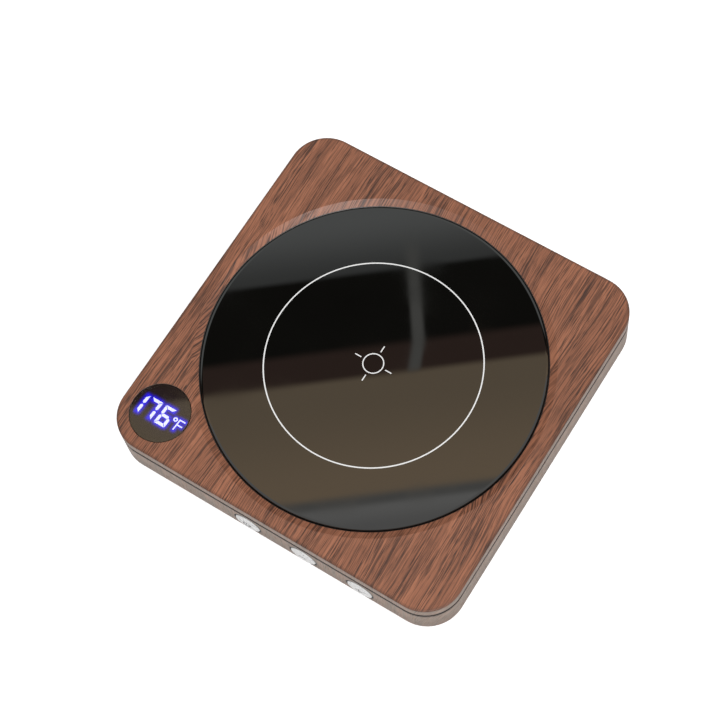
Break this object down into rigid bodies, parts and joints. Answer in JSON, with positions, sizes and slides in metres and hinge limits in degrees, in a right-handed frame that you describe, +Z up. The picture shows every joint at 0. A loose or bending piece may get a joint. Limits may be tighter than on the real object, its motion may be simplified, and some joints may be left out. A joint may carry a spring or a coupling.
{
  "type": "mug warmer",
  "caption": "Square wood-print mug warmer: round black glass hot plate set in a low body, lit corner temperature display, push buttons on the front edge and a power inlet at the back.",
  "frame": {"origin": "on the table, under the middle of the square body", "axes": "+X to the right seen from the button side, +Y from the buttons to the power inlet, +Z up out of the hot plate"},
  "size_m": [0.12, 0.1205, 0.02],
  "materials": {
    "wood_print": "walnut print under a satin clear coat",
    "black_glass": "polished black glass with a thin white printed ring",
    "dark_rubber": "matt",
    "aluminium": "rolled",
    "copper_film": "amber film",
    "mica": "flaky, translucent sheet",
    "felt": "white mineral felt",
    "steel": "zinc plated",
    "epoxy_bead": "dipped bead",
    "ceramic_body": "glazed",
    "red_wire": "silicone insulation",
    "grey_wire": "plain insulation",
    "smoked_window": "polished, dark smoked, lets the digits through",
    "black_plastic": "moulded",
    "lit_digits": "lit from below, blue white",
    "unlit_digits": "unlit light guides",
    "led_chip": "yellow phosphor",
    "circuit_board": "green solder resist",
    "button_silver": "satin silver white",
    "white_plastic": "moulded nylon",
    "chip_black": "moulded epoxy",
    "ferrite": "dark ferrite",
    "nickel": "nickel plated",
    "contact_brass": "spring sheet",
    "grey_plate": "blank satin film"
  },
  "bodies": {
    "housing": {"top_cover": "wood_print", "bottom_case": "wood_print", "glass_plate": "black_glass", "plate_seal": "dark_rubber", "heat_spreader": "aluminium", "film_heater": "copper_film", "mica_sheet": "mica", "felt_pad": "felt", "heater_clamp": "steel", "clamp_screws": "steel", "temperature_sensor": "epoxy_bead", "thermal_fuse": "ceramic_body", "heater_leads": "red_wire", "sensor_leads": "grey_wire", "fuse_leads": "red_wire", "display_window": "smoked_window", "display_reflector": "black_plastic", "lit_segments": "lit_digits", "dark_segments": "unlit_digits", "display_leds": "led_chip", "display_board": "circuit_board", "display_screws": "steel", "display_leads": "grey_wire", "switch_housings": "black_plastic", "button_board": "circuit_board", "button_plug": "white_plastic", "button_leads": "grey_wire", "main_board": "circuit_board", "board_screws": "steel", "board_plugs": "white_plastic", "controller_chip": "chip_black", "power_transistor": "chip_black", "capacitors": "aluminium", "choke": "ferrite", "inlet_housing": "black_plastic", "inlet_pin": "nickel", "inlet_contact": "contact_brass", "inlet_leads": "red_wire", "case_screws": "steel", "feet": "dark_rubber", "blank_plate": "grey_plate"},
    "left_button_body": {"left_button": "button_silver", "left_plunger": "black_plastic"},
    "middle_button_body": {"middle_button": "button_silver", "middle_plunger": "black_plastic"},
    "right_button_body": {"right_button": "button_silver", "right_plunger": "black_plastic"}
  },
  "joints": [
    {"name": "left_button_press", "type": "slide", "parent": "housing", "child": "left_button_body", "axis": [0, 1, 0], "range_m": [0, 0.0005], "stiffness_N_per_m": 1000, "springref_m": -0.0006},
    {"name": "middle_button_press", "type": "slide", "parent": "housing", "child": "middle_button_body", "axis": [0, 1, 0], "range_m": [0, 0.0005], "stiffness_N_per_m": 1000, "springref_m": -0.0006},
    {"name": "right_button_press", "type": "slide", "parent": "housing", "child": "right_button_body", "axis": [0, 1, 0], "range_m": [0, 0.0005], "stiffness_N_per_m": 1000, "springref_m": -0.0006}
  ]
}
